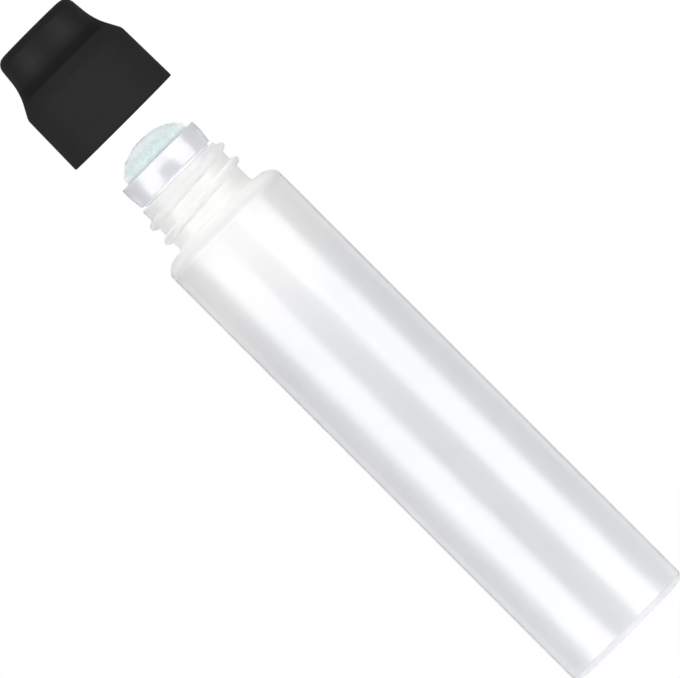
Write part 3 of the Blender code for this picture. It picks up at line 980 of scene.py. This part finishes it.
# %% Carrier, poppet, seal and retainer
VALVE_STEPS = 64
PEG_TOP, PEG_RADIUS = 133.7, 2.2
PLATE_TOP, PLATE_MIDDLE, PLATE_BOTTOM, PLATE_RADIUS = 131.3, 130.8, 130.3, 7.95
STEM_END, STEM_RADIUS = 123.75, 1.6
FLOW_HOLES, FLOW_RADIUS, FLOW_CIRCLE, FLOW_DEPTH = 6, 0.9, 5.0, 2.0
POPPET_RADIUS, POPPET_BORE = 4.4, 1.9
FLANGE_TOP, FLANGE_MIDDLE, FLANGE_BOTTOM = 118.15, 117.55, 116.95
SLOT_LENGTH, SLOT_WIDTH, SLOT_DEPTH = 6.6, 1.8, 2.4

outline = [(0.0, PEG_TOP), (PEG_RADIUS, PEG_TOP, 0.2), (PEG_RADIUS, PLATE_TOP)]
outline += [(PLATE_RADIUS, PLATE_TOP, 0.15), (PLATE_RADIUS, PLATE_BOTTOM, 0.15)]
outline += [(STEM_RADIUS, PLATE_BOTTOM), (STEM_RADIUS, STEM_END), (0.0, STEM_END)]
carrier = piece("nib_carrier_plate_and_stem", spun(outline, steps=VALVE_STEPS), white)
holes = bmesh.new()
for hole in range(FLOW_HOLES):
    turn_hole = Matrix.Rotation(math.tau * hole / FLOW_HOLES, 4, "Z")
    bmesh.ops.create_cone(
        holes,
        cap_ends=True,
        segments=24,
        radius1=FLOW_RADIUS * MM,
        radius2=FLOW_RADIUS * MM,
        depth=FLOW_DEPTH * MM,
        matrix=turn_hole @ Matrix.Translation((FLOW_CIRCLE * MM, 0.0, PLATE_MIDDLE * MM)),
    )
combine(carrier, holes, "DIFFERENCE")
hand_over(carrier, "nib", "nib_carrier")

outline = [(0.0, 123.45), (POPPET_BORE, 123.45), (POPPET_BORE, 125.75, 0.1)]
outline += [(POPPET_RADIUS, 125.75, 0.15), (POPPET_RADIUS, 124.35, 0.15)]
outline += [(2.9, 124.35), (2.9, 121.95, 0.2), (0.0, 121.95)]
poppet = piece("poppet", spun(outline, steps=VALVE_STEPS), white)
hand_over(poppet, "nib", "valve_poppet")

outline = [(POPPET_BORE, 126.6), (POPPET_RADIUS, 126.6, 0.1)]
outline += [(POPPET_RADIUS, 126.05, 0.1), (POPPET_BORE, 126.05)]
seal = piece("poppet_seal", spun(outline, closed=True, steps=VALVE_STEPS), rubber)
hand_over(seal, "nib", "valve_seal")

outline = [(0.0, FLANGE_TOP), (4.8, FLANGE_TOP), (4.8, 122.35, 0.2), (6.1, 122.35, 0.2)]
outline += [(6.1, FLANGE_TOP), (7.7, FLANGE_TOP, 0.2), (7.7, FLANGE_BOTTOM, 0.2)]
outline += [(0.0, FLANGE_BOTTOM)]
retainer = piece("spring_cup", spun(outline, steps=VALVE_STEPS), white)
for size in ((SLOT_LENGTH, SLOT_WIDTH, SLOT_DEPTH), (SLOT_WIDTH, SLOT_LENGTH, SLOT_DEPTH)):
    slot = bmesh.new()
    stretch = Matrix.Diagonal((*(side * MM for side in size), 1.0))
    in_flange = Matrix.Translation((0.0, 0.0, FLANGE_MIDDLE * MM))
    bmesh.ops.create_cube(slot, size=1.0, matrix=in_flange @ stretch)
    combine(retainer, slot, "DIFFERENCE")
hand_over(retainer, "barrel", "valve_retainer")

# %% [markdown]
# ## Spring
# The coil is a climbing spin of the wire's round section, like the threads. On the real marker it
# gets shorter as the nib is pressed, while its foot stays on the cup's floor. Here it is built at
# rest and gets a mesh of its own. A bevelled curve would look the same, but the spin is known from
# the threads by now.

# %% Spring
SPRING_FOOT = 118.45
SPRING_LENGTH = 5.6
SPRING_TURNS = 5
COIL_RADIUS = 3.95
COIL_STEPS = 40 * SPRING_TURNS
WIRE = 0.35

shape = bmesh.new()
to_start = Matrix.Translation((COIL_RADIUS * MM, 0.0, (SPRING_FOOT + WIRE) * MM))
on_edge = to_start @ Matrix.Rotation(math.pi / 2, 4, "X")
bmesh.ops.create_circle(shape, cap_ends=False, segments=12, radius=WIRE * MM, matrix=on_edge)
bmesh.ops.spin(
    shape,
    geom=shape.verts[:] + shape.edges[:],
    cent=(0.0, 0.0, 0.0),
    axis=(0.0, 0.0, 1.0),
    dvec=(0.0, 0.0, (SPRING_LENGTH - 2 * WIRE) / COIL_STEPS * MM),
    angle=math.tau * SPRING_TURNS,
    steps=COIL_STEPS,
)
bmesh.ops.holes_fill(shape, edges=shape.edges[:])
bmesh.ops.recalc_face_normals(shape, faces=shape.faces[:])
spring = piece("spring_coil", shape, steels["stainless_wire_drawn"])
hand_over(spring, "barrel", "valve_spring")
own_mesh(spring)

# %% [markdown]
# ## Mixing balls
# Two steel balls lie loose on the floor of the bottle and stir the paint when the marker is shaken.
# A sphere with fine steps is their true shape, so nothing else has to be modelled.

# %% Mixing balls
BALL_RADIUS = 3.0
BALL_ASIDE = 4.0
BALL_MIDDLE = 5.5

for number, side in ((1, -1), (2, 1)):
    shape = bmesh.new()
    at_rest = Matrix.Translation((side * BALL_ASIDE * MM, 0.0, BALL_MIDDLE * MM))
    bmesh.ops.create_uvsphere(
        shape, u_segments=48, v_segments=24, radius=BALL_RADIUS * MM, matrix=at_rest
    )
    ball = piece(f"steel_ball_{number}", shape, steels["stainless_steel_polished"])
    hand_over(ball, f"ball_{number}", f"mixing_ball_{number}")

# %% [markdown]
# ## Black polypropylene
# The cap is black polypropylene. Its mould was blasted matt round the skirt and the start of the
# slope and left smooth from the nape up. That gives three zones: the skirt is an even dark grey,
# the hollow nape is painted darker, a ring of painted shade, and the satin head mirrors the lamps a
# little. All are in one material, and the height tells them apart. The blasting is drawn at 0.35 mm,
# coarser than it is, because it wouldn't show otherwise. Separate materials would need an edge in
# the mesh at each border.

# %% Black polypropylene
MOUTH = 143.0
NAPE_FROM = MOUTH + 16.4
HEAD_FROM = MOUTH + 18.7
ZONE_BLEND = 0.45

black, tree = finish("black_polypropylene_blasted_mould")
place = add(tree, "ShaderNodeTexCoord").outputs["Object"]
height = add(tree, "ShaderNodeSeparateXYZ", {"Vector": place}).outputs["Z"]
smooth, head = [
    add(
        tree,
        "ShaderNodeMapRange",
        {
            "Value": height,
            "From Min": (start - ZONE_BLEND) * MM,
            "From Max": (start + ZONE_BLEND) * MM,
        },
        interpolation_type="SMOOTHSTEP",
    ).outputs[0]
    for start in (NAPE_FROM, HEAD_FROM)
]
speck = add(tree, "ShaderNodeTexNoise", {"Vector": place, "Scale": 1 / (0.35 * MM), "Detail": 3.0})
patch = add(tree, "ShaderNodeTexNoise", {"Vector": place, "Scale": 1 / (7 * MM), "Detail": 2.0})
matt_tint = add(
    tree,
    "ShaderNodeMix",
    {0: patch.outputs["Fac"], 6: linear("#1D1D1D"), 7: linear("#212121")},
    data_type="RGBA",
)
# The nape is painted darker than the head, a ring of painted shade.
painted_nape_shade_and_head_tint = add(
    tree, "ShaderNodeMix", {0: head, 6: linear("#161616"), 7: linear("#1D1D1D")}, data_type="RGBA"
)
tint = add(
    tree,
    "ShaderNodeMix",
    {0: smooth, 6: matt_tint.outputs[2], 7: painted_nape_shade_and_head_tint.outputs[2]},
    data_type="RGBA",
)
blasted = add(
    tree, "ShaderNodeMapRange", {"Value": speck.outputs["Fac"], "To Min": 0.68, "To Max": 0.82}
)
rough = add(tree, "ShaderNodeMix", {0: smooth, 2: blasted.outputs[0], 3: 0.48}, data_type="FLOAT")
depth = add(tree, "ShaderNodeMapRange", {"Value": smooth, "To Min": 0.25, "To Max": 0.03})
speck_bump = add(
    tree,
    "ShaderNodeBump",
    {"Height": speck.outputs["Fac"], "Strength": depth.outputs[0], "Distance": 0.06 * MM},
)
shader = add(
    tree,
    "ShaderNodeBsdfPrincipled",
    {
        "Base Color": tint.outputs[2],
        "Roughness": rough.outputs[0],
        "Normal": speck_bump.outputs[0],
        "Specular IOR Level": 0.11,
    },
)
add(tree, "ShaderNodeOutputMaterial", {"Surface": shader.outputs["BSDF"]})
print(black.name, len(tree.nodes), "nodes")

# %% [markdown]
# ## Cap
# The cap screws down over the neck and covers the nib. It is a hollow turned shell: straight skirt,
# slope, hollow nape and a round head with a flat top. Inside it has the thread, the seat of the
# seal ring and the room for the nib. As with the bottle, one outline gives the outside and the
# inside at once.

# %% Cap
CAP_TOP = 26.2  # these heights are counted from the mouth
CEILING = 24.4
GROOVE_BOTTOM, GROOVE_TOP = 15.5, 17.1
SKIRT_INSIDE, HEAD_INSIDE = 11.6, 8.55
THREAD_START = 1.9

outline = [(0.0, CAP_TOP), (9.72, CAP_TOP, 1.9), (10.45, 18.8, 2.3)]
outline += [(13.2, 13.7, 0.5), (13.45, 0.0, 0.25)]
outline += [(SKIRT_INSIDE, 0.0, 0.3), (SKIRT_INSIDE, 12.1), (10.1, 15.2), (10.1, GROOVE_BOTTOM)]
outline += [(10.5, GROOVE_BOTTOM), (10.5, GROOVE_TOP), (HEAD_INSIDE, GROOVE_TOP)]
outline += [(HEAD_INSIDE, CEILING, 2.4), (0.0, CEILING)]
cap = piece("screw_cap", spun(outline, MOUTH), black)
first_turn = (MOUTH + THREAD_START - HELIX_HEIGHT - PITCH / 2) / PITCH
cap_thread = thread(
    root=11.8,
    crest=10.3,
    root_width=2.0,
    crest_width=0.8,
    first_turn=first_turn,
    last_turn=first_turn + 2.1,
    fade=0.12,
    shift=PITCH / 2,
)
combine(cap, cap_thread, "UNION")
hand_over(cap, "cap", "cap")

# %% [markdown]
# ## Seal ring
# A soft ring is caught in a groove of the cap. It closes on the collar's rim when the cap is
# screwed on, and stays still while the cap turns over it. A torus would be round in section, and
# this ring is flat, so it is turned from four rounded corners.

# %% Seal ring
outline = [(8.7, 16.8, 0.2), (10.3, 16.8, 0.2), (10.3, 15.8, 0.2), (8.7, 15.8, 0.2)]
ring = piece("cap_ring", spun(outline, MOUTH, closed=True), rubber)
hand_over(ring, "cap_ring", "cap_seal_ring")
